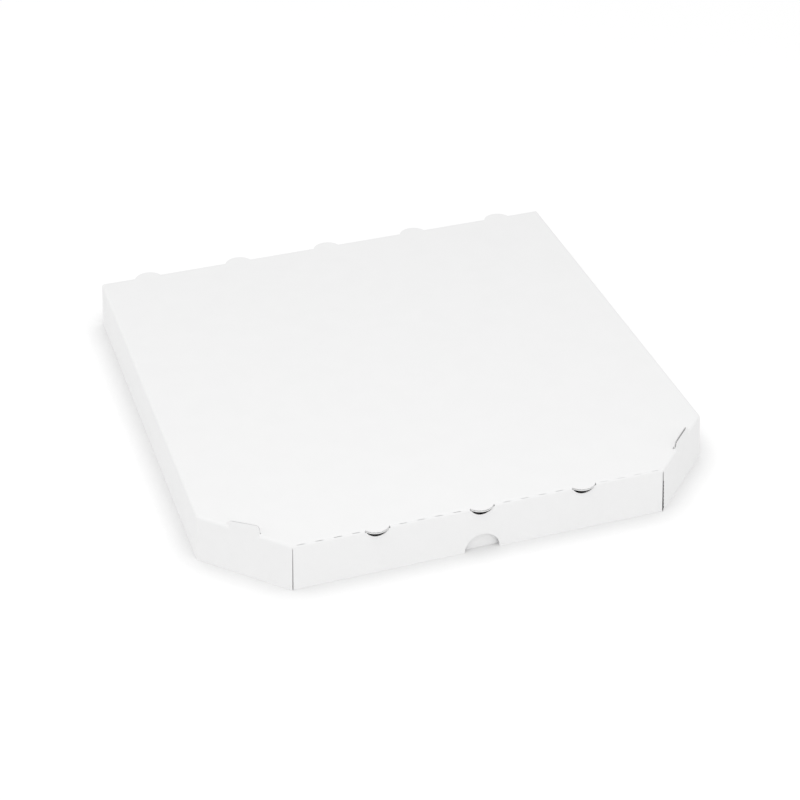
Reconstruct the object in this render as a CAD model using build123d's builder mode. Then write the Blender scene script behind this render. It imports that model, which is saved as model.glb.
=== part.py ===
"""Pizza box: one sheet of white corrugated card, folded shut. Millimetres, +Z up, front towards -Y."""

import os
from math import asin, atan, degrees, sqrt

from build123d import *

# Outside of the closed box, along its folds
box_width = 320.0
box_depth = 320.0
box_height = 31.0
corner_cut = 45.0  # legs of the two front corners that are cut off

# Board and folds
board = 1.5
fold_radius = 2.0  # outside of a folded edge
tray_fold_radius = 1.0  # outside of the tray's lower edges, pressed flat on the floor
corner_radius = 6.0  # outside of the tray's upright bends
crease_gap = 0.2  # between the two mitred edges of a fold that moves
wall_lean = 2.0  # by which the lid's walls stand out at their feet
flap_lean = 1.0  # the same on the front flap

# Fits between the folded panels
wall_clearance = 1.0  # lid walls outside the tray walls
front_clearance = 0.6  # front flap outside the tray's front wall
floor_gap = 0.2  # lid walls and flap above the floor
lid_clearance = 0.3  # tray walls under the lid
knife_gap = 0.8  # beside each vent tab in its notch
notch_spare = 0.9  # below each vent tab in its notch
ear_gap = 0.3  # tray ears off the back wall
end_clearance = 0.4  # front flap off the slanted corners, at the fold
foot_clearance = 0.7  # the same at the foot

# Low walls of the tray
low_wall_top = 20.0
ear_length = 25.0

# Half-moon vents along the front and rear folds
vent_pitch = 64.0
front_vents = 3
front_vent_chord = 13.5
front_vent_reach = 3.2
rear_vents = 5
rear_vent_chord = 18.0
rear_vent_reach = 6.0

# Perforated front fold
cut_length = 4.5
cut_pitch = 11.0
cut_width = 0.4
cuts_in_stretch = 4  # between two vents, or a vent and the end of the fold

# Finger notch in the front flap
finger_radius = 11.0

# Upstanding tongues on the slanted corners
tongue_width = 20.0
tongue_height = 4.8
tongue_corner = 2.0
tongue_slot = 2.6
left_rise = 1.3  # of the tongue's front end above its middle
right_rise = 0.0

# Places that follow from the sizes above
half_width = box_width / 2
half_depth = box_depth / 2
corner_sum = half_width + half_depth - corner_cut  # |x| + |y| all along a slanted corner
front_half = corner_sum - half_depth  # half length of the perforated fold
under_lid = box_height - board
lean_slope = wall_lean / (box_height - floor_gap)
mitre_step = crease_gap / sqrt(2)
mitre_turn = 45 - degrees(asin(crease_gap / 2 / fold_radius))
flat_half = half_width - fold_radius  # half length of the hinge fold, between the folded sides
foot_half = front_half + wall_lean / sqrt(2)  # half width of the front opening at its foot
wall_top = under_lid - lid_clearance
tray_half_width = half_width - board - wall_clearance
tray_front = half_depth - board - front_clearance
tray_corner_sum = corner_sum - (board + wall_clearance) * sqrt(2)


def places(count, pitch):
    """Evenly spaced places along X, centred on zero."""
    return [(i - (count - 1) / 2) * pitch for i in range(count)]


def arc_radius(chord, reach):
    """Radius of the arc that stands out by the reach over a chord."""
    return (chord**2 / 4 + reach**2) / (2 * reach)


def plan(width, front, rear, slant):
    """Corner points, counter-clockwise, of a square panel with its two front corners cut off."""
    return [
        (-width, rear),
        (-width, width - slant),
        (front - slant, -front),
        (slant - front, -front),
        (width, width - slant),
        (width, rear),
    ]


# Vents: each tab stays level with the lid, and its notch is deeper by the board that the fold takes up
front_vent_x = places(front_vents, vent_pitch)
front_notch_chord = front_vent_chord + 2 * knife_gap
front_notch_reach = front_vent_reach + board + notch_spare
front_tab_radius = arc_radius(front_vent_chord, front_vent_reach)
front_notch_radius = arc_radius(front_notch_chord, front_notch_reach)
front_tab_y = front_tab_radius - front_vent_reach - half_depth
front_tabs = [(x, front_tab_y) for x in front_vent_x]
front_notch_z = box_height + front_notch_radius - front_notch_reach
front_notches = [(x, front_notch_z) for x in front_vent_x]
rear_vent_x = places(rear_vents, vent_pitch)
rear_notch_reach = rear_vent_reach + board + notch_spare
rear_tab_radius = arc_radius(rear_vent_chord, rear_vent_reach)
rear_notch_radius = arc_radius(rear_vent_chord + 2 * knife_gap, rear_notch_reach)
rear_tab_y = half_depth + rear_vent_reach - rear_tab_radius
rear_tabs = [(x, rear_tab_y) for x in rear_vent_x]
rear_notch_z = box_height + rear_notch_radius - rear_notch_reach
rear_notches = [(x, rear_notch_z) for x in rear_vent_x]

# Perforations: short cuts along the front fold, between the vents
stretch_starts = [-front_half] + [x + front_notch_chord / 2 for x in front_vent_x]
stretch_ends = [x - front_notch_chord / 2 for x in front_vent_x] + [front_half]
cuts = [
    ((start + end) / 2 + step, board / 2 - half_depth, box_height - board / 2)
    for start, end in zip(stretch_starts, stretch_ends)
    for step in places(cuts_in_stretch, cut_pitch)
]


def hood(inset):
    """Closed hood with leaning walls, its faces one inset inside the lid's outer faces."""
    top = box_height - inset
    spread = wall_lean - inset
    with BuildPart() as shape:
        # Section from side to side, folded down along both sides
        with BuildSketch(Plane.XZ.offset(-half_depth - inset)) as section:
            foot = half_width + spread
            crown = foot - lean_slope * (top - floor_gap)
            Polygon(
                (-foot, floor_gap), (foot, floor_gap), (crown, top), (-crown, top), align=None
            )
            fillet(section.vertices().group_by(Axis.Y)[-1], fold_radius - inset)
        extrude(amount=box_depth + inset + 2 * wall_lean)
        # Plan with the front corners cut off, wider than the section at the sides and the rear
        with BuildSketch(Plane.XY.offset(floor_gap)):
            beyond = 2 * wall_lean + board
            slant = corner_sum + spread * sqrt(2)
            Polygon(
                *plan(half_width + beyond, half_depth + spread, half_depth + beyond, slant),
                align=None,
            )
        extrude(amount=top - floor_gap, taper=degrees(atan(lean_slope)), mode=Mode.INTERSECT)
        front_folds = shape.faces().sort_by(Axis.Z)[-1].edges().sort_by(Axis.Y)[:3]
        fillet(front_folds, fold_radius - inset)
    return shape.part


lid_outside = hood(0)
lid_inside = hood(board)

# Lid: a hood with slanted front corners, open at the front fold and at the back
with BuildPart() as lid:
    add(lid_outside)
    add(lid_inside, mode=Mode.SUBTRACT)
    # Front wall removed for the flap, with the ends of the slanted corners leaning as they do
    with BuildSketch(Plane.XZ.offset(half_depth - 2 * board)):
        Polygon(
            (-foot_half, floor_gap),
            (foot_half, floor_gap),
            (front_half, under_lid),
            (-front_half, under_lid),
            align=None,
        )
    extrude(amount=2 * (board + wall_lean), mode=Mode.SUBTRACT)
    # Mitred edges of the front fold and of the hinge fold
    for end, length in ((-1, front_half), (1, flat_half)):
        with BuildSketch(Plane.YZ):
            leg = board + mitre_step + fold_radius
            inner = end * (half_depth - board - mitre_step)
            Polygon(
                (inner, under_lid),
                (inner + end * leg, under_lid),
                (inner + end * leg, under_lid + leg),
                align=None,
            )
        extrude(amount=length, both=True, mode=Mode.SUBTRACT)
    # Half-moon vent tabs, level with the panel
    with BuildSketch(Plane.XY.offset(under_lid)):
        with Locations(*front_tabs):
            Circle(front_tab_radius)
        with Locations(*rear_tabs):
            Circle(rear_tab_radius)
    extrude(amount=board)
    # Perforations of the front fold
    with Locations(*cuts):
        Box(cut_length, cut_width, 3 * board, rotation=(45, 0, 0), mode=Mode.SUBTRACT)
    # Tongues, each cut from the panel and left standing in the plane of its slanted corner
    for side, rise in ((-1, left_rise), (1, right_rise)):
        middle = (side * (half_width - corner_cut / 2), corner_cut / 2 - half_depth, box_height)
        inwards = (-side, 1, -sqrt(2) * lean_slope)
        face = Plane(origin=middle, x_dir=(-1, -side, 0), z_dir=inwards)
        with BuildSketch(face.offset(-fold_radius)):
            with Locations((0, -fold_radius)):
                Rectangle(tongue_width, 2 * fold_radius, align=(Align.CENTER, Align.MIN))
        extrude(amount=fold_radius + tongue_slot, mode=Mode.SUBTRACT)
        with BuildSketch(face) as tongue:
            Polygon(
                (-tongue_width / 2, -fold_radius),
                (tongue_width / 2, -fold_radius),
                (tongue_width / 2, tongue_height + side * rise),
                (-tongue_width / 2, tongue_height - side * rise),
                align=None,
            )
            fillet(tongue.vertices().sort_by(Axis.Y)[-2:], tongue_corner)
        extrude(amount=board)

# Front flap: hangs from the perforated fold, between the slanted corners
with BuildPart() as front_flap:
    with BuildSketch(Plane.YZ):
        with BuildLine():
            back = Polyline(
                (board - half_depth, under_lid - mitre_step),
                (board - half_depth - flap_lean, floor_gap),
                (-half_depth - flap_lean, floor_gap),
                (-half_depth, box_height - fold_radius),
            )
            bend = CenterArc(
                (fold_radius - half_depth, box_height - fold_radius), fold_radius, 180, -mitre_turn
            )
            Line(bend @ 1, back @ 0)
        make_face()
    extrude(amount=foot_half, both=True)
    # Ends that follow the lean of the slanted corners
    with BuildSketch(Plane.XZ.offset(half_depth - 2 * board)):
        Polygon(
            (foot_clearance - foot_half, floor_gap),
            (foot_half - foot_clearance, floor_gap),
            (front_half - end_clearance, box_height),
            (end_clearance - front_half, box_height),
            align=None,
        )
    extrude(amount=3 * board + flap_lean, mode=Mode.INTERSECT)
    # Finger notch at the foot, vent notches at the fold, and room there for the tabs
    with BuildSketch(Plane.XZ.offset(half_depth - 2 * board)):
        with Locations((0, floor_gap)):
            Circle(finger_radius)
        with Locations(*front_notches):
            Circle(front_notch_radius)
    extrude(amount=3 * board + flap_lean, mode=Mode.SUBTRACT)
    with BuildSketch(Plane.XY.offset(under_lid - mitre_step)):
        with Locations(*front_tabs):
            Circle(front_tab_radius + knife_gap)
    extrude(amount=board + mitre_step, mode=Mode.SUBTRACT)
    # Perforations, shared with the lid
    with Locations(*cuts):
        Box(cut_length, cut_width, 3 * board, rotation=(45, 0, 0), mode=Mode.SUBTRACT)

# Tray: bottom panel with its walls folded up, and the back wall that carries the lid
with BuildPart() as base_tray:
    with BuildSketch() as tray_plan:
        with BuildLine():
            Polyline(*plan(tray_half_width, tray_front, half_depth, tray_corner_sum), close=True)
        make_face()
        fillet(tray_plan.vertices().sort_by(Axis.Y)[:4], corner_radius)
    extrude(amount=wall_top)
    fillet(base_tray.faces().sort_by(Axis.Z)[0].edges(), tray_fold_radius)
    tray_inner_sum = tray_corner_sum - board * sqrt(2)
    with BuildSketch(Plane.XY.offset(board)) as tray_space:
        with BuildLine():
            Polyline(
                *plan(
                    tray_half_width - board,
                    tray_front - board,
                    half_depth - board,
                    tray_inner_sum,
                ),
                close=True,
            )
        make_face()
        fillet(tray_space.vertices().sort_by(Axis.Y)[:4], corner_radius - board)
    extrude(amount=wall_top, mode=Mode.SUBTRACT)
    # Front wall lowered between the slanted corners, so that the vents stay clear
    with BuildSketch(Plane.XZ.offset(tray_front - 2 * board)) as low_front:
        low_half = tray_corner_sum - tray_front - corner_radius
        with Locations((0, low_wall_top)):
            Rectangle(2 * low_half, box_height, align=(Align.CENTER, Align.MIN))
        fillet(low_front.vertices().group_by(Axis.Y)[0], corner_radius)
    extrude(amount=3 * board, mode=Mode.SUBTRACT)
    # Back wall: its upper strip, up to the mitred hinge fold
    with BuildSketch(Plane.YZ):
        with BuildLine():
            front = Polyline(
                (half_depth - board, under_lid - mitre_step),
                (half_depth - board, wall_top - board),
                (half_depth, wall_top - board),
                (half_depth, box_height - fold_radius),
            )
            bend = CenterArc(
                (half_depth - fold_radius, box_height - fold_radius), fold_radius, 0, mitre_turn
            )
            Line(bend @ 1, front @ 0)
        make_face()
    extrude(amount=tray_half_width, both=True)
    # Vent notches in the back wall, and room for the tabs at the fold
    with BuildSketch(Plane.XZ.offset(-half_depth - board)):
        with Locations(*rear_notches):
            Circle(rear_notch_radius)
    extrude(amount=3 * board, mode=Mode.SUBTRACT)
    with BuildSketch(Plane.XY.offset(under_lid - mitre_step)):
        with Locations(*rear_tabs):
            Circle(rear_tab_radius + knife_gap)
    extrude(amount=board + mitre_step, mode=Mode.SUBTRACT)
    # Side walls cut free of the back wall, each with an ear tucked in behind it
    ear_foot = board + fold_radius
    for side in (-1, 1):
        ear_back = half_depth - board - ear_gap
        with Locations((side * tray_half_width, ear_back, ear_foot)):
            Box(
                2 * ear_length,
                ear_gap,
                wall_top,
                align=(Align.CENTER, Align.MIN, Align.MIN),
                mode=Mode.SUBTRACT,
            )
        with Locations((side * (tray_half_width - ear_length / 2), ear_back, ear_foot)):
            Box(
                ear_length,
                board,
                low_wall_top - ear_foot,
                align=(Align.CENTER, Align.MAX, Align.MIN),
            )

os.makedirs("parts", exist_ok=True)
for piece, name in ((base_tray, "base_tray"), (lid, "lid"), (front_flap, "front_flap")):
    piece.part.label = name
    export_step(piece.part, f"parts/{name}.step")
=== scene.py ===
"""Pizza box of white corrugated card: its looks in Blender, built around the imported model, in metres."""

# %% [markdown]
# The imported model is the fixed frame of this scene. It holds three pieces of folded card: the tray, the
# lid and the front flap. Everything below is placed by that frame, so nothing has to be fitted
# afterwards.

# %% Load the folded box
import math
import bmesh
import bpy
from mathutils import Matrix, Vector
from mathutils.bvhtree import BVHTree


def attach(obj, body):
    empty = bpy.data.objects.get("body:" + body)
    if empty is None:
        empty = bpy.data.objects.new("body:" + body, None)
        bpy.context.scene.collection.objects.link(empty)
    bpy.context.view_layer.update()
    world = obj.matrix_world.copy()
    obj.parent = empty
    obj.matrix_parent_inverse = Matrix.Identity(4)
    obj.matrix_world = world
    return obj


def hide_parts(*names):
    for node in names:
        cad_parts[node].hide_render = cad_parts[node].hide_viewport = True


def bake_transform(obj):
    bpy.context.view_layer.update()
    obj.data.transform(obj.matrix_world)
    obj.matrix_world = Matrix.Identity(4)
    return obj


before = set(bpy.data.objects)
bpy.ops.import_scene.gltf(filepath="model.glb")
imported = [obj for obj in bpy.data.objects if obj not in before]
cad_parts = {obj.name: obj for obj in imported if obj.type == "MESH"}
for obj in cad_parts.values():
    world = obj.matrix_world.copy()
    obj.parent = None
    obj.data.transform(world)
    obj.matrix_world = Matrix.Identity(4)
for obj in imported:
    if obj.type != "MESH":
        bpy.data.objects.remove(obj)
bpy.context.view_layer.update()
MM = 0.001

# %% [markdown]
# The photograph looks down on the box from its front left, through a long lens. The eye was worked out
# from the box's own corners: a turn to the left, a height above the floor, and a distance. The aim lies a
# few millimetres beside the box's centre, because the box isn't quite centred in the picture.

# %% Camera
AZIMUTH = math.radians(-18.03)
ELEVATION = math.radians(34.22)
ROLL = math.radians(-0.464)
DISTANCE = 1.3258
LENS_MM = 91.46
SENSOR_MM = 36.0
AIM_RIGHT = 1.95 * MM
AIM_UP = 2.5 * MM

back = Vector(
    (
        math.sin(AZIMUTH) * math.cos(ELEVATION),
        -math.cos(AZIMUTH) * math.cos(ELEVATION),
        math.sin(ELEVATION),
    )
)
level_right = Vector((math.cos(AZIMUTH), math.sin(AZIMUTH), 0.0))
level_up = back.cross(level_right)
right = math.cos(ROLL) * level_right + math.sin(ROLL) * level_up
up = back.cross(right)
eye = back * DISTANCE + right * AIM_RIGHT + up * AIM_UP
lens = bpy.data.cameras.new("photo_view")
lens.lens = LENS_MM
lens.sensor_width = SENSOR_MM
camera = bpy.data.objects.new("photo_view", lens)
camera.matrix_world = Matrix.Translation(eye) @ Matrix((right, up, back)).transposed().to_4x4()
bpy.context.collection.objects.link(camera)
bpy.context.scene.camera = camera
print("camera at", [round(value, 3) for value in eye])

# %% [markdown]
# The board is three layers of paper: two flat liners, and between them a waved paper, the core. The core
# shows only where the board is cut. It is rough, with fine specks and no gloss at all. Its mid grey is darker
# than the pale core paper itself: painted shade for the dark lines along the cuts. Noise on Object
# coordinates keeps the specks at their real size.

# %% Grey paper of the waves, its grey partly painted shade
# These greys are darker than the core paper really is: painted shade for the cut lines.
CORE_SHADE_TONES = (0.5, 0.62)
TONE_STOPS = (0.3, 0.7)
PAPER_RELIEF = 0.05 * MM


def new_material(name):
    """A node material, with its tree of nodes and its shader."""
    material = bpy.data.materials.new(name)
    material.use_nodes = True
    tree = material.node_tree
    return material, tree, tree.nodes["Principled BSDF"]


def noise(tree, place, scale, detail):
    """A noise of the given fineness on the object's own coordinates."""
    texture = tree.nodes.new("ShaderNodeTexNoise")
    texture.inputs["Scale"].default_value = scale
    texture.inputs["Detail"].default_value = detail
    tree.links.new(place, texture.inputs["Vector"])
    return texture.outputs["Fac"]


def greys(tree, value, tones):
    """A dark and a light grey, mixed by a noise."""
    mix = tree.nodes.new("ShaderNodeValToRGB")
    for stop, position, tone in zip(mix.color_ramp.elements, TONE_STOPS, tones):
        stop.position = position
        stop.color = (tone, tone, tone, 1.0)
    tree.links.new(value, mix.inputs["Fac"])
    return mix.outputs["Color"]


def bump(tree, height, strength, under=None):
    """The relief of paper, laid over another relief where there is one."""
    relief = tree.nodes.new("ShaderNodeBump")
    relief.inputs["Strength"].default_value = strength
    relief.inputs["Distance"].default_value = PAPER_RELIEF
    tree.links.new(height, relief.inputs["Height"])
    if under is not None:
        tree.links.new(under, relief.inputs["Normal"])
    return relief.outputs["Normal"]


def core_paper_painted_shade():
    """Rough paper seen only at the cuts, its mid grey partly painted shade."""
    material, tree, shader = new_material("core_paper_painted_shade")
    shader.inputs["Specular IOR Level"].default_value = 0.0
    shader.inputs["Roughness"].default_value = 0.95
    place = tree.nodes.new("ShaderNodeTexCoord").outputs["Object"]
    specks = noise(tree, place, scale=900.0, detail=5.0)
    tree.links.new(greys(tree, specks, CORE_SHADE_TONES), shader.inputs["Base Color"])
    tree.links.new(bump(tree, specks, strength=0.25), shader.inputs["Normal"])
    return material


core = core_paper_painted_shade()
print("material", core.name)

# %% [markdown]
# The liner is bleached paper: matt, nearly white, with faint clouds where the pulp is thicker and short
# fibres that catch the light. Under it the waves of the board run from front to back, and they show
# through as a very faint washboard.

# %% White paper liner
LINER_TONES = (0.89, 0.9)
LINER_ROUGHNESS = (0.62, 0.8)
FLUTE_PITCH = 2.8 * MM


def map_range(tree, value, low, high):
    """A value between 0 and 1, spread from low to high."""
    spread = tree.nodes.new("ShaderNodeMapRange")
    spread.inputs["To Min"].default_value = low
    spread.inputs["To Max"].default_value = high
    tree.links.new(value, spread.inputs["Value"])
    return spread.outputs["Result"]


def white_liner():
    """Matt bleached paper with faint clouds, fibres and the washboard of the waves below it."""
    material, tree, shader = new_material("white_liner")
    shader.inputs["Specular IOR Level"].default_value = 0.2
    place = tree.nodes.new("ShaderNodeTexCoord").outputs["Object"]
    clouds = noise(tree, place, scale=60.0, detail=4.0)
    tree.links.new(greys(tree, clouds, LINER_TONES), shader.inputs["Base Color"])
    fibres = noise(tree, place, scale=1400.0, detail=3.0)
    tree.links.new(map_range(tree, fibres, *LINER_ROUGHNESS), shader.inputs["Roughness"])

    washboard = tree.nodes.new("ShaderNodeTexWave")
    washboard.inputs["Scale"].default_value = math.pi / 10.0 / FLUTE_PITCH
    washboard.inputs["Distortion"].default_value = 0.6
    tree.links.new(place, washboard.inputs["Vector"])
    waves = bump(tree, washboard.outputs["Fac"], strength=0.05)
    tree.links.new(bump(tree, fibres, strength=0.12, under=waves), shader.inputs["Normal"])
    return material


liner = white_liner()
print("material", liner.name)

# %% [markdown]
# Wherever the sheet is cut, its three layers show. The model's cut faces are plain, so each folded piece
# is copied and its loose triangles are merged, and the next cells open the cuts of the copies.

# %% Copies of the folded pieces
BOARD = 1.5 * MM
LINER = 0.22 * MM
MERGE = 0.002 * MM


def pick(piece):
    """Selects one object alone."""
    bpy.ops.object.select_all(action="DESELECT")
    bpy.context.view_layer.objects.active = piece
    piece.select_set(True)


def begin_edit(piece):
    """Opens one piece in edit mode, with nothing selected."""
    pick(piece)
    bpy.ops.object.mode_set(mode="EDIT")
    bpy.ops.mesh.select_all(action="DESELECT")


def merged_copy(node, name):
    """A copy of a folded piece, its loose triangles joined at their corners."""
    piece = bpy.data.objects.new(name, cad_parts[node].data.copy())
    bpy.context.collection.objects.link(piece)
    piece.data.materials.clear()
    piece.data.materials.append(liner)
    piece.data.materials.append(core)
    begin_edit(piece)
    bpy.ops.mesh.select_all(action="SELECT")
    bpy.ops.mesh.remove_doubles(threshold=MERGE)
    bpy.ops.mesh.customdata_custom_splitnormals_clear()
    bpy.ops.object.mode_set(mode="OBJECT")
    return piece


boards = {}
for node in ("lid", "front_flap", "base_tray"):
    boards[node] = merged_copy(node, node + "_board")
    print(boards[node].name, "faces:", len(boards[node].data.polygons))

# %% [markdown]
# The model keeps the outer walls a fifth of a millimetre clear of the floor. Real card stands on the
# floor, and the gap would draw a dark line under it, so the feet of the copies are lowered. For the same
# reason the bend under the tray's front wall, which shows through the finger notch, is pressed square to
# the floor.

# %% Feet on the floor
FOOT = min(corner[2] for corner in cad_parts["lid"].bound_box)
FOOT_LEFT = 0.03 * MM
TRAY_FRONT = 157.9 * MM
BEND_SLOPE = 0.05


def select_parts(piece, mode, wanted):
    """Selects the faces, edges or corners of the piece in edit mode that a test wants, and counts them."""
    bpy.ops.mesh.select_mode(type=mode)
    bpy.ops.mesh.select_all(action="DESELECT")
    mesh = bmesh.from_edit_mesh(piece.data)
    parts = {"FACE": mesh.faces, "EDGE": mesh.edges, "VERT": mesh.verts}[mode]
    chosen = [part for part in parts if wanted(part)]
    for part in chosen:
        part.select_set(True)
    mesh.select_flush_mode()
    bmesh.update_edit_mesh(piece.data)
    return len(chosen)


def lower_foot(piece):
    """Moves the foot of an outer wall down to the floor."""

    def on_foot(face):
        return max(vertex.co.z for vertex in face.verts) < FOOT + MERGE

    begin_edit(piece)
    count = select_parts(piece, "FACE", on_foot)
    bpy.ops.transform.translate(value=(0.0, 0.0, FOOT_LEFT - FOOT))
    bpy.ops.object.mode_set(mode="OBJECT")
    return count


def press_front_bend(piece):
    """Brings the bend under the tray's front wall into the plane of that wall."""

    def on_bend(face):
        normal = face.normal
        return normal.y < -BEND_SLOPE and normal.z < -BEND_SLOPE and abs(normal.x) < BEND_SLOPE

    begin_edit(piece)
    count = select_parts(piece, "FACE", on_bend)
    bpy.ops.transform.resize(value=(1.0, 0.0, 1.0), center_override=(0.0, -TRAY_FRONT, 0.0))
    bpy.ops.object.mode_set(mode="OBJECT")
    return count


for node in ("lid", "front_flap"):
    print(boards[node].name, "foot faces lowered:", lower_foot(boards[node]))
print("base_tray_board bend faces pressed:", press_front_bend(boards["base_tray"]))

# %% [markdown]
# Under each front vent the flap has a notch. The tab hangs over it, and in the photograph the slot
# between the two is black: the knife has crushed the notch's rim, so that nothing of its cut shows from
# outside. Here the inner edge of each rim is stretched downwards, and the eye looks past it into the dark
# box.

# %% Rims of the front vent notches
BOX_TOP = 31.0 * MM
HALF_DEPTH = 160.0 * MM
FLAP_MIDDLE = BOARD / 2 - HALF_DEPTH
VENT_PITCH = 64.0 * MM
FRONT_VENTS = 3
FRONT_CHORD = 13.5 * MM
NOTCH_BOTTOM = 25.0 * MM
RIM_STRETCH = 1.2


def places(count):
    """Places of the vents along X."""
    return [(i - (count - 1) / 2) * VENT_PITCH for i in range(count)]


def crush_rims(piece):
    """Stretches the inner edges of the vent notches downwards."""

    def on_inner_edge(vertex):
        at = vertex.co
        beside = min(abs(at.x - x) for x in places(FRONT_VENTS))
        return beside < FRONT_CHORD / 2 and at.y > FLAP_MIDDLE and at.z > NOTCH_BOTTOM

    begin_edit(piece)
    count = select_parts(piece, "VERT", on_inner_edge)
    bpy.ops.transform.resize(value=(1.0, 1.0, RIM_STRETCH), center_override=(0.0, 0.0, BOX_TOP - BOARD))
    bpy.ops.object.mode_set(mode="OBJECT")
    return count


print("front_flap_board rim corners moved:", crush_rims(boards["front_flap"]))

# %% [markdown]
# The ends of the two slanted corners, beside the front flap, are cut askew. They are found by their
# place. An inset leaves the two liners standing, and the strip between them is extruded into the card. It
# goes along the slanted wall itself, because straight in it would come out through the liner. The right
# end is first cut across at many levels, for the nicks of the next cell.

# %% Ends of the slanted corners
FRONT_HALF = 115.0 * MM
WALL_LEAN = 2.0 * MM
END_GROOVE = 1.6 * MM
END_FACING = 0.9
NICK_STEP = 1.3 * MM
NICK_LOWEST = 1.5 * MM
NICKS = 8
CORE_SLOT = 1


def finish_groove(piece):
    """Gives the selected faces the paper of the core, and leaves edit mode."""
    piece.active_material_index = CORE_SLOT
    bpy.ops.object.material_slot_assign()
    bpy.ops.object.mode_set(mode="OBJECT")


def open_slanted_end(piece, side, levels):
    """Cuts the end of one slanted corner across at some levels, and sinks it along its wall."""

    def is_end(face):
        middle = face.calc_center_median()
        beside_flap = abs(abs(middle.x) - FRONT_HALF) < WALL_LEAN and middle.y < BOARD * 2 - HALF_DEPTH
        return beside_flap and face.normal.x * side < -END_FACING

    begin_edit(piece)
    for level in levels:
        select_parts(piece, "FACE", is_end)
        bpy.ops.mesh.bisect(plane_co=(0.0, 0.0, level), plane_no=(0.0, 0.0, 1.0))
    count = select_parts(piece, "FACE", is_end)
    bpy.ops.mesh.inset(thickness=LINER, use_even_offset=False)
    along = Vector((side, 1.0, 0.0)).normalized() * END_GROOVE
    bpy.ops.mesh.extrude_region_move(TRANSFORM_OT_translate={"value": along})
    finish_groove(piece)
    return count


nick_levels = [NICK_LOWEST + i * NICK_STEP for i in range(2 * NICKS + 1)]
print("left slanted end, faces:", open_slanted_end(boards["lid"], -1, []))
print("right slanted end, faces:", open_slanted_end(boards["lid"], 1, nick_levels))

# %% [markdown]
# The photograph shows the right end torn from its neighbour along a row of small nicks. Every second
# level of its cuts is pushed back along the slanted wall, which leans outwards, so the place of the end
# depends on the height.

# %% Nicks of the right end
NICK_DEPTH = 1.3 * MM


def end_corner(z):
    """How far the leaning slanted corner stands out at a height, along X and along Y."""
    return WALL_LEAN / math.sqrt(2.0) * (1.0 - z / BOX_TOP)


def push_nicks(piece, levels):
    """Pushes the right slanted end back at some levels."""

    def at_nick(vertex):
        at = vertex.co
        at_level = any(abs(at.z - level) < LINER / 2 for level in levels)
        return at_level and abs(at.x - FRONT_HALF - end_corner(at.z)) < BOARD / 3

    begin_edit(piece)
    count = select_parts(piece, "VERT", at_nick)
    bpy.ops.transform.translate(value=Vector((1.0, 1.0, 0.0)).normalized() * NICK_DEPTH)
    bpy.ops.object.mode_set(mode="OBJECT")
    return count


print("corners pushed back:", push_nicks(boards["lid"], nick_levels[1::2]))

# %% [markdown]
# All other cuts are square to the sheet. From such a cut a line straight into the card runs far before it
# comes out again, while from a liner it comes out after one thickness. So a ray finds the cuts, one inset
# leaves the liners standing, and a second one sinks the strip between them. The folded edges under the
# tray are as deep, so on the tray only what lies above them counts. The finger notch's rim is pressed
# shut.

# %% Square cuts of the tray and the flap
SKIN = 0.02 * MM
DEEP = 3.2 * MM
SLIM = 0.3 * MM
GROOVE = 0.45 * MM
FINGER_RADIUS = 11.0 * MM


def open_edges(piece, in_reach, paper=LINER, groove=GROOVE, slimmest=SLIM):
    """Leaves the two liners standing along each square cut within reach, with a groove between them."""
    begin_edit(piece)
    tree = BVHTree.FromBMesh(bmesh.from_edit_mesh(piece.data))

    def is_cut(face):
        middle = face.calc_center_median()
        width = 2.0 * face.calc_area() / max(edge.calc_length() for edge in face.edges)
        depth = tree.ray_cast(middle - face.normal * SKIN, -face.normal)[3]
        return depth is not None and depth > DEEP and width > slimmest and in_reach(middle, face.normal)

    count = select_parts(piece, "FACE", is_cut)
    bpy.ops.mesh.inset(thickness=paper, use_even_offset=False)
    bpy.ops.mesh.inset(thickness=MERGE, depth=-groove, use_even_offset=False)
    finish_groove(piece)
    return count


def above_tray_bends(at, normal):
    """Whether a place on the tray lies above the bends round its bottom."""
    return at.z > 2.0 * BOARD


def beside_finger_notch(at, normal):
    """Whether a place on the front flap lies away from the finger notch."""
    return Vector((at.x, at.z)).length > FINGER_RADIUS + BOARD


print("tray, cut faces:", open_edges(boards["base_tray"], above_tray_bends))
print("front flap, cut faces:", open_edges(boards["front_flap"], beside_finger_notch))

# %% [markdown]
# On the lid the cuts differ. In the photograph the right tongue's edge gapes and is opened deeper, while
# the left tongue's edge is pinched, with a hairline along its top. The knife pressed the rims of the
# front tabs together too, so they keep thicker lips. On the tongues the faces count that look along the
# slanted fold or up, and not those that look across it.

# %% Square cuts of the lid
TONGUE_WIDTH = 20.0 * MM
TONGUE_PLACE = Vector((137.5 * MM, -137.5 * MM, BOX_TOP))
TONGUE_CLEAR = 0.7 * TONGUE_WIDTH
TONGUE_ROOT = 1.2 * MM
TONGUE_SIDES = 2.2 * MM
TONGUE_SLIM = SLIM / 3
ACROSS_FOLD = 0.7
GAPE = 1.2 * MM
PINCHED = 0.45 * MM
TAB_PAPER = 0.4 * MM
TAB_GROOVE = 2.5 * MM


def on_right_tongue(at, normal):
    """Whether a place lies on the edge of the right tongue, above its root."""
    return at.x > 0.0 and at.z > BOX_TOP + TONGUE_ROOT and abs(normal.x - normal.y) < ACROSS_FOLD


def on_left_tongue(at, normal):
    """Whether a place lies on the upper edge of the left tongue."""
    return at.x < 0.0 and at.z > BOX_TOP + TONGUE_SIDES and abs(normal.x + normal.y) < ACROSS_FOLD


def on_front_tab(at, normal):
    """Whether a place lies on the rim of a front vent tab."""
    return at.y < -HALF_DEPTH and BOX_TOP - BOARD < at.z < BOX_TOP


def elsewhere_on_lid(at, normal):
    """Whether a place lies on none of these, nor close to the right tongue."""
    far = (at - TONGUE_PLACE).length > TONGUE_CLEAR
    return far and at.z < BOX_TOP and not on_front_tab(at, normal)


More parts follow.
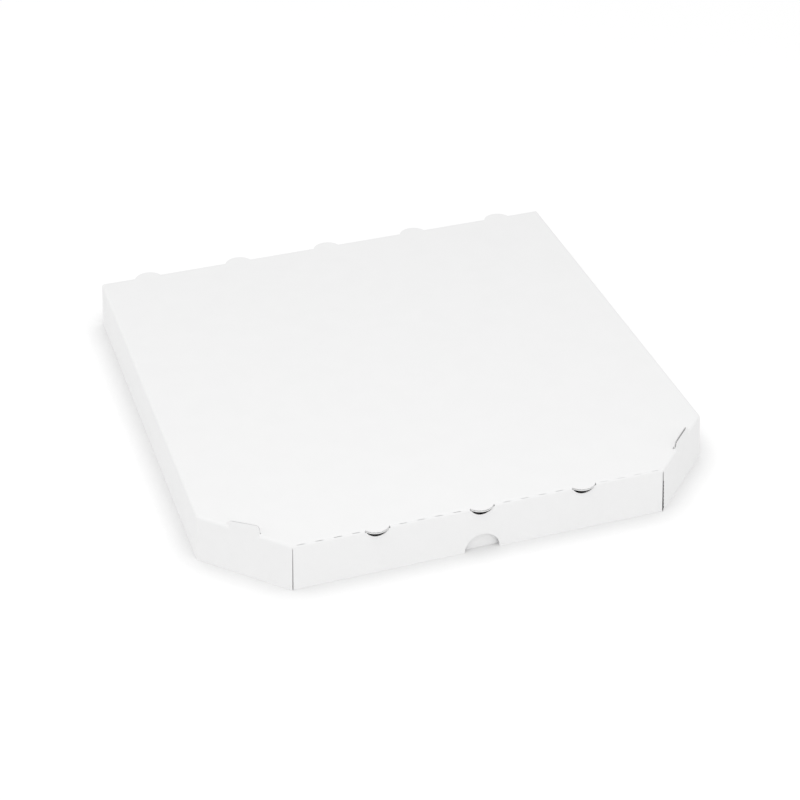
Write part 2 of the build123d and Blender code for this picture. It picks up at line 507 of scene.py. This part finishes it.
lid_cuts = {
    "right tongue": open_edges(boards["lid"], on_right_tongue, LINER, GAPE, TONGUE_SLIM),
    "left tongue": open_edges(boards["lid"], on_left_tongue, PINCHED, GAPE, TONGUE_SLIM),
    "front tabs": open_edges(boards["lid"], on_front_tab, TAB_PAPER, TAB_GROOVE),
    "rest of the lid": open_edges(boards["lid"], elsewhere_on_lid),
}
print("lid, cut faces:", lid_cuts)

# %% [markdown]
# Folded card has soft bends and flat panels. Shading is smooth across the small steps of each bend, and
# the weighted normals keep every panel flat right up to its bends. Each board takes the place of its
# plain piece.

# %% Smooth bends
SMOOTH_ANGLE = math.radians(35.0)
BODY_OF = {"lid": "lid", "front_flap": "front_flap", "base_tray": "base"}


def smooth_bends(piece):
    """Smooth bends, flat panels."""
    pick(piece)
    bpy.ops.object.shade_smooth_by_angle(angle=SMOOTH_ANGLE)
    bpy.ops.object.modifier_add(type="WEIGHTED_NORMAL")
    piece.modifiers[-1].keep_sharp = True
    bpy.ops.object.modifier_apply(modifier=piece.modifiers[-1].name)


for node, piece in boards.items():
    smooth_bends(piece)
    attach(piece, BODY_OF[node])
    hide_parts(node)
    print(piece.name, "faces:", len(piece.data.polygons))

# %% [markdown]
# One wave of the paper inside the board is modelled once: a narrow strip, divided across, whose columns
# are moved to and fro like a sine, and given the thickness of paper. It runs along X, swings along Y
# between the liners, and goes into the card along Z.

# %% One flute
FLUTE_STEPS = 8
FLUTE_DEPTH = 0.4 * MM
FLUTE_PAPER = 0.2 * MM
FLUTE_SWING = BOARD / 2 - LINER - FLUTE_PAPER / 2


def thicken(piece, paper, offset):
    """Gives the active piece the thickness of paper, to the inside (-1) or to both sides (0) of its faces."""
    bpy.ops.object.modifier_add(type="SOLIDIFY")
    piece.modifiers[-1].thickness = paper
    piece.modifiers[-1].offset = offset
    bpy.ops.object.modifier_apply(modifier=piece.modifiers[-1].name)
    bpy.ops.object.shade_smooth_by_angle(angle=SMOOTH_ANGLE)


def one_flute():
    """A single wave of the paper between the liners."""
    column = FLUTE_PITCH / FLUTE_STEPS
    bpy.ops.object.select_all(action="DESELECT")
    bpy.ops.mesh.primitive_grid_add(x_subdivisions=FLUTE_STEPS, y_subdivisions=1, size=FLUTE_PITCH)
    wave = bpy.context.object
    wave.name = "flute"
    bpy.ops.object.mode_set(mode="EDIT")
    bpy.ops.transform.resize(value=(1.0, FLUTE_DEPTH / FLUTE_PITCH, 1.0))
    bpy.ops.transform.rotate(value=math.pi / 2, orient_axis="X", center_override=(0.0, 0.0, 0.0))
    for step in range(FLUTE_STEPS + 1):
        place = (step / FLUTE_STEPS - 0.5) * FLUTE_PITCH
        select_parts(wave, "VERT", lambda vertex: abs(vertex.co.x - place) < column / 4)
        swing = FLUTE_SWING * math.sin(2.0 * math.pi * step / FLUTE_STEPS)
        bpy.ops.transform.translate(value=(0.0, swing, 0.0))
    bpy.ops.object.mode_set(mode="OBJECT")
    thicken(wave, FLUTE_PAPER, 0.0)
    wave.data.materials.append(core)
    return wave


flute = one_flute()
print("one flute:", len(flute.data.polygons), "faces")

# %% [markdown]
# The waves follow each cut that crosses them. A straight cut is described by its two ends, the way across
# the board and the way into it, and a whole number of waves is spread over its length. On the lid such
# cuts are the feet of the slanted corners, the left one's end, and the top of the right tongue. All
# places follow from the box's sizes.

# %% Straight rows of flutes on the lid
FLUTE_SINK = 0.05 * MM
HALF_WIDTH = 160.0 * MM
CORNER_CUT = 45.0 * MM
CORNER_SUM = HALF_WIDTH + HALF_DEPTH - CORNER_CUT
END_MARGIN = 1.0 * MM
TONGUE_HEIGHT = 4.8 * MM
TONGUE_CORNER = 2.0 * MM
BACKWARDS = (0.0, 1.0, 0.0)
UP = (0.0, 0.0, 1.0)


def set_wave(origin, along, across, inward, stretch):
    """Place and turn of one wave; the way across is reversed where the turn would mirror it."""
    if along.cross(across).dot(inward) < 0.0:
        across = -across
    turn = Matrix((along * stretch, across, inward)).transposed().to_4x4()
    return Matrix.Translation(origin + inward * (FLUTE_SINK + FLUTE_DEPTH / 2)) @ turn


def straight_cut(start, end, across, inward, widen=1.0):
    """Waves along a straight cut."""
    start, end = Vector(start), Vector(end)
    across, inward = Vector(across).normalized() * widen, Vector(inward).normalized()
    count = max(1, round((end - start).length / FLUTE_PITCH))
    along = (end - start).normalized()
    stretch = (end - start).length / count / FLUTE_PITCH
    waves = []
    for i in range(count):
        waves.append(set_wave(start.lerp(end, (i + 0.5) / count), along, across, inward, stretch))
    return waves


def slanted_foot(side):
    """Foot of a slanted corner of the lid."""
    line_sum = CORNER_SUM + (WALL_LEAN - BOARD / 2) * math.sqrt(2.0)
    painted_shadow_fade = FRONT_HALF + WALL_LEAN + END_MARGIN
    far = HALF_WIDTH + WALL_LEAN - BOARD - END_MARGIN
    start = (side * painted_shadow_fade, painted_shadow_fade - line_sum, FOOT)
    end = (side * far, far - line_sum, FOOT)
    return straight_cut(start, end, (side, -1.0, 0.0), UP)


def left_end():
    """End of the left slanted corner of the lid, beside the front flap."""
    shift = WALL_LEAN / math.sqrt(2.0)
    middle = BOARD / math.sqrt(2.0) - HALF_DEPTH
    start = (-FRONT_HALF, middle, BOX_TOP - BOARD - END_MARGIN)
    end = (-FRONT_HALF - shift, middle - shift, FOOT + END_MARGIN)
    return straight_cut(start, end, BACKWARDS, (-1.0, 1.0, 0.0), widen=math.sqrt(2.0))


def tongue_top():
    """Top of the right tongue, which stands on a slanted fold."""
    slope = WALL_LEAN / (BOX_TOP - FOOT)
    inwards = Vector((-1.0, 1.0, -math.sqrt(2.0) * slope)).normalized()
    along = Vector((-1.0, -1.0, 0.0)).normalized()
    crest = TONGUE_PLACE + inwards.cross(along) * TONGUE_HEIGHT + inwards * (BOARD / 2)
    reach = along * (TONGUE_WIDTH / 2 - TONGUE_CORNER)
    return straight_cut(crest - reach, crest + reach, inwards, along.cross(inwards))


lid_waves = tongue_top() + slanted_foot(-1) + slanted_foot(1) + left_end()
print("waves along straight cuts of the lid:", len(lid_waves))

# %% [markdown]
# The rims of the rear vent tabs are arcs. Their waves stand round the arc's centre like spokes. All waves
# of a piece are copies of the one flute, each with a mesh of its own, and they are joined and ride on
# their body.

# %% Flutes of the lid
REAR_VENTS = 5
REAR_CHORD = 18.0 * MM
REAR_REACH = 6.0 * MM


def arc_of(chord, reach):
    """Radius and half angle of an arc over a chord."""
    radius = (chord**2 / 4 + reach**2) / (2.0 * reach)
    return radius, math.asin(chord / 2.0 / radius)


def round_cut(centre, radius, half_angle, outward, into):
    """Waves round an arc, to both sides of its outward way; they go in (1) or away from its centre (-1)."""
    centre, outward, sideways = Vector(centre), Vector(outward), Vector((1.0, 0.0, 0.0))
    across = outward.cross(sideways)
    count = max(1, round(2.0 * half_angle * radius / FLUTE_PITCH))
    stretch = 2.0 * half_angle * radius / count / FLUTE_PITCH
    waves = []
    for i in range(count):
        angle = ((i + 0.5) / count * 2.0 - 1.0) * half_angle
        spoke = math.cos(angle) * outward + math.sin(angle) * sideways
        along = math.cos(angle) * sideways - math.sin(angle) * outward
        waves.append(set_wave(centre + spoke * radius, along, across, spoke * -into, stretch))
    return waves


def lay_flutes(name, body, waves):
    """Copies the wave to all its places and joins the copies to one piece of a body."""
    bpy.ops.object.select_all(action="DESELECT")
    for wave in waves:
        copy = flute.copy()
        copy.data = flute.data.copy()
        copy.data.transform(wave)
        bpy.context.collection.objects.link(copy)
        copy.select_set(True)
        bpy.context.view_layer.objects.active = copy
    bpy.ops.object.join()
    piece = bpy.context.object
    piece.name = name
    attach(piece, body)
    print(name, "waves:", len(waves), "faces:", len(piece.data.polygons))


rear_radius, rear_half_angle = arc_of(REAR_CHORD, REAR_REACH)
for x in places(REAR_VENTS):
    centre = (x, HALF_DEPTH + REAR_REACH - rear_radius, BOX_TOP - BOARD / 2)
    lid_waves += round_cut(centre, rear_radius, rear_half_angle, BACKWARDS, 1)
lay_flutes("lid_flutes", "lid", lid_waves)

# %% [markdown]
# The front flap shows its waves along its foot, to both sides of the finger notch. The crushed rims of
# its vent notches and of its finger notch show none.

# %% Flutes of the front flap
FLAP_LEAN = 1.0 * MM

flap_waves = []
for side in (-1, 1):
    start = (side * (FINGER_RADIUS + END_MARGIN), FLAP_MIDDLE - FLAP_LEAN, FOOT)
    end = (side * (FRONT_HALF - 2.0 * END_MARGIN), FLAP_MIDDLE - FLAP_LEAN, FOOT)
    flap_waves += straight_cut(start, end, BACKWARDS, UP)
lay_flutes("flap_flutes", "front_flap", flap_waves)

# %% [markdown]
# In the tray the waves show when the lid is up: along the tops of the front wall, the slanted walls and
# the two ears, and in the vent notches of the back wall. A notch is as deep as its tab reaches, and
# deeper by the board that the fold takes up and a little spare.

# %% Flutes of the tray
TRAY_HALF_WIDTH = 157.5 * MM
TRAY_INSET = 2.5 * MM
TRAY_SUM = CORNER_SUM - TRAY_INSET * math.sqrt(2.0)
TRAY_BEND = 6.0 * MM
LOW_WALL_TOP = 20.0 * MM
SHEET_GAP = 0.3 * MM
EAR_LENGTH = 25.0 * MM
EAR_MIDDLE = HALF_DEPTH - BOARD * 1.5 - SHEET_GAP
WALL_TOP = BOX_TOP - BOARD - SHEET_GAP
FOLD_RADIUS = 2.0 * MM
KNIFE_GAP = 0.8 * MM
NOTCH_SPARE = 0.9 * MM
DOWN = (0.0, 0.0, -1.0)


def low_wall():
    """Top of the low front wall."""
    half = TRAY_SUM - TRAY_FRONT - 2.0 * TRAY_BEND - END_MARGIN
    middle = BOARD / 2 - TRAY_FRONT
    return straight_cut((-half, middle, LOW_WALL_TOP), (half, middle, LOW_WALL_TOP), BACKWARDS, DOWN)


def slanted_wall(side):
    """Top of a slanted wall."""
    line_sum = TRAY_SUM - BOARD / math.sqrt(2.0)
    painted_shadow_fade = TRAY_SUM - TRAY_FRONT + TRAY_BEND
    far = TRAY_HALF_WIDTH - TRAY_BEND
    start = (side * painted_shadow_fade, painted_shadow_fade - line_sum, WALL_TOP)
    end = (side * far, far - line_sum, WALL_TOP)
    return straight_cut(start, end, (side, -1.0, 0.0), DOWN)


def ear(side):
    """Top of an ear behind the back wall."""
    start = (side * (TRAY_HALF_WIDTH - EAR_LENGTH + END_MARGIN), EAR_MIDDLE, LOW_WALL_TOP)
    end = (side * (TRAY_HALF_WIDTH - BOARD - END_MARGIN), EAR_MIDDLE, LOW_WALL_TOP)
    return straight_cut(start, end, BACKWARDS, DOWN)


def notch_rim(x):
    """Rim of a vent notch in the back wall, up to where the fold begins."""
    depth = REAR_REACH + BOARD + NOTCH_SPARE
    radius = arc_of(REAR_CHORD + 2.0 * KNIFE_GAP, depth)[0]
    height = BOX_TOP + radius - depth
    half_angle = math.acos((height - BOX_TOP + FOLD_RADIUS) / radius)
    return round_cut((x, HALF_DEPTH - BOARD / 2, height), radius, half_angle, DOWN, -1)


tray_waves = low_wall()
for side in (-1, 1):
    tray_waves += slanted_wall(side) + ear(side)
for x in places(REAR_VENTS):
    tray_waves += notch_rim(x)
lay_flutes("tray_flutes", "base", tray_waves)
bpy.data.objects.remove(flute)

# %% [markdown]
# At a fold the board isn't cut: its outer liner runs on over the bend, and only short slits along the
# front fold go through it. The model leaves a mitred crease there, so a strip of liner is spun over the
# bend, between the vents, with a slit wherever the front fold is perforated. A slit is as wide as one
# step of the spin, and the fold is pulled open more at its left than at its right, so its stretches have
# different steps.

# %% Strips of liner over the moving folds
FRONT_STEPS = (15, 17, 21, 35)
REAR_STEPS = 13
FOLD_PROUD = 0.03 * MM
FOLD_MARGIN = 0.5 * MM
SLIT_LENGTH = 4.5 * MM
SLIT_PITCH = 11.0 * MM
SLITS = 4
HINGE_HALF = HALF_WIDTH - FOLD_RADIUS
QUARTER = math.pi / 2


def cut_slits(strip, slits, axis_y, axis_z, half_step):
    """Cuts a spun strip across at the ends of its slits, and takes out the middle step between them."""

    def in_slit(face):
        at = face.calc_center_median()
        turn = math.atan2(abs(at.y - axis_y), at.z - axis_z)
        in_length = any(abs(at.x - slit) < SLIT_LENGTH / 2 for slit in slits)
        return in_length and abs(turn - QUARTER / 2) < half_step

    for slit in slits:
        for place in (slit - SLIT_LENGTH / 2, slit + SLIT_LENGTH / 2):
            bpy.ops.mesh.select_all(action="SELECT")
            bpy.ops.mesh.bisect(plane_co=(place, 0.0, 0.0), plane_no=(1.0, 0.0, 0.0))
    select_parts(strip, "FACE", in_slit)
    bpy.ops.mesh.delete(type="FACE")


def fold_strip(start, end, towards, steps, slits):
    """One stretch of liner over a fold at the front (-1) or the rear (1), slit at the given places."""
    axis_y = towards * (HALF_DEPTH - FOLD_RADIUS)
    axis_z = BOX_TOP - FOLD_RADIUS

    def on_axis(edge):
        return all(abs(vertex.co.y - axis_y) < MERGE for vertex in edge.verts)

    def looks_inwards(face):
        return face.normal.z < -MERGE or face.normal.y * towards < -MERGE

    bpy.ops.object.select_all(action="DESELECT")
    bpy.ops.mesh.primitive_plane_add(size=1.0)
    strip = bpy.context.object
    bpy.ops.object.mode_set(mode="EDIT")
    bpy.ops.transform.resize(value=(end - start, FOLD_MARGIN, 1.0))
    middle = axis_y - towards * FOLD_MARGIN / 2
    bpy.ops.transform.translate(value=((start + end) / 2, middle, BOX_TOP + FOLD_PROUD))
    select_parts(strip, "EDGE", on_axis)
    bpy.ops.mesh.spin(
        steps=steps, angle=towards * QUARTER, center=(0.0, axis_y, axis_z), axis=(1.0, 0.0, 0.0)
    )
    bpy.ops.mesh.extrude_edges_move(TRANSFORM_OT_translate={"value": (0.0, 0.0, -FOLD_MARGIN)})
    cut_slits(strip, slits, axis_y, axis_z, QUARTER / 2 / steps)
    select_parts(strip, "FACE", looks_inwards)
    bpy.ops.mesh.flip_normals()
    bpy.ops.object.mode_set(mode="OBJECT")
    return strip


def stretches(count, chord, half):
    """Stretches of a fold between its vents."""
    half_notch = chord / 2 + KNIFE_GAP
    starts = [-half] + [x + half_notch for x in places(count)]
    ends = [x - half_notch for x in places(count)] + [half]
    return list(zip(starts, ends))


front_strips = []
for (start, end), steps in zip(stretches(FRONT_VENTS, FRONT_CHORD, FRONT_HALF), FRONT_STEPS):
    slits = [(start + end) / 2 + (i - (SLITS - 1) / 2) * SLIT_PITCH for i in range(SLITS)]
    front_strips.append(fold_strip(start, end, -1.0, steps, slits))
rear_strips = []
for start, end in stretches(REAR_VENTS, REAR_CHORD, HINGE_HALF):
    rear_strips.append(fold_strip(start, end, 1.0, REAR_STEPS, []))
print("strips over the front fold:", len(front_strips), "over the rear fold:", len(rear_strips))

# %% [markdown]
# The strips of each fold are joined and get the thickness of paper.

# %% Liner over the moving folds
FOLD_PAPER = 0.12 * MM


def fold_liner(name, strips):
    """Joins the strips and gives them the thickness of paper."""
    bpy.ops.object.select_all(action="DESELECT")
    for strip in strips:
        strip.select_set(True)
    bpy.context.view_layer.objects.active = strips[0]
    bpy.ops.object.join()
    piece = bpy.context.object
    piece.name = name
    thicken(piece, FOLD_PAPER, -1.0)
    piece.data.materials.append(liner)
    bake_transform(piece)
    print(name, "faces:", len(piece.data.polygons))


fold_liner("front_fold_liner", front_strips)
fold_liner("hinge_fold_liner", rear_strips)

# %% [markdown]
# The box lies on a white sweep. What the camera sees of the floor is part lit and part its own glow, so the
# floor reads as clean paper white. Close to the box an occlusion node dims that glow: a painted contact
# shadow over the real one. Light that bounces from it on to the box sees plain matt white.

# %% Floor
FLOOR_SIZE = 8.0
FLOOR_BOUNCE = 0.9
FLOOR_SEEN = 0.55
FLOOR_LIFT = 0.5
SHADOW_REACH = 20.0 * MM
SHADOW_SAMPLES = 16


def combine(tree, operation, first, second):
    """One value made of two others."""
    node = tree.nodes.new("ShaderNodeMath")
    node.operation = operation
    tree.links.new(first, node.inputs[0])
    tree.links.new(second, node.inputs[1])
    return node.outputs["Value"]


def white_sweep():
    """Matt white whose glow fades near the box, a painted contact shadow."""
    material, tree, shader = new_material("white_sweep")
    shader.inputs["Specular IOR Level"].default_value = 0.0
    shader.inputs["Roughness"].default_value = 0.9
    ray = tree.nodes.new("ShaderNodeLightPath").outputs
    seen = combine(tree, "MAXIMUM", ray["Is Camera Ray"], ray["Is Glossy Ray"])
    seen = combine(tree, "MAXIMUM", seen, ray["Is Transmission Ray"])
    tree.links.new(map_range(tree, seen, FLOOR_BOUNCE, FLOOR_SEEN), shader.inputs["Base Color"])

    # Occlusion dims the floor's glow near the box: a painted contact shadow.
    painted_shadow_fade = tree.nodes.new("ShaderNodeAmbientOcclusion")
    painted_shadow_fade.samples = SHADOW_SAMPLES
    painted_shadow_fade.inputs["Distance"].default_value = SHADOW_REACH
    glow_with_painted_shadow = combine(tree, "MULTIPLY", seen, painted_shadow_fade.outputs["AO"])
    shader.inputs["Emission Color"].default_value = (1.0, 1.0, 1.0, 1.0)
    tree.links.new(map_range(tree, glow_with_painted_shadow, 0.0, FLOOR_LIFT), shader.inputs["Emission Strength"])
    return material


bpy.ops.object.select_all(action="DESELECT")
bpy.ops.mesh.primitive_plane_add(size=FLOOR_SIZE, location=(0.0, 0.0, 0.0))
floor = bpy.context.object
floor.name = "floor"
floor.data.materials.append(white_sweep())
print("floor", FLOOR_SIZE, "m")

# %% [markdown]
# A white tent of light from all round keeps every side of the box pale, as in the photograph. The camera
# sees the tent itself as plain white.

# %% Tent of light
TENT = 0.854
TENT_SEEN = 1.0

scene = bpy.context.scene
scene.view_settings.view_transform = "Standard"
world = bpy.data.worlds.new("tent")
scene.world = world
world.use_nodes = True
tent_tree = world.node_tree
glow = tent_tree.nodes["Background"]
glow.inputs["Color"].default_value = (1.0, 1.0, 1.0, 1.0)
tent_ray = tent_tree.nodes.new("ShaderNodeLightPath").outputs["Is Camera Ray"]
tent_tree.links.new(map_range(tent_tree, tent_ray, TENT, TENT_SEEN), glow.inputs["Strength"])
print("tent", TENT)

# %% [markdown]
# Four soft lamps do the rest. One close over the front makes the front of the lid brighter than its back,
# and three weak ones light the left wall, the front flap and the right slanted corner. Each has a place,
# a size and a power.

# %% Lamps
LAMPS = {
    "over_lamp": ((-0.12, -0.45, 0.8), 0.6, 1.17),
    "left_lamp": ((-1.1, 0.45, 0.5), 0.8, 1.08),
    "front_lamp": ((0.0, -0.9, 0.7), 0.8, 0.36),
    "right_lamp": ((0.9, -0.7, 0.5), 0.8, 0.32),
}
LAMP_AIM = Vector((0.0, -0.05, 0.0))

for name, (place, size, power) in LAMPS.items():
    light = bpy.data.lights.new(name, "AREA")
    light.energy = power
    light.size = size
    lamp = bpy.data.objects.new(name, light)
    lamp.location = place
    lamp.rotation_euler = (LAMP_AIM - lamp.location).to_track_quat("-Z", "Y").to_euler()
    bpy.context.collection.objects.link(lamp)
print("lamps", len(LAMPS))
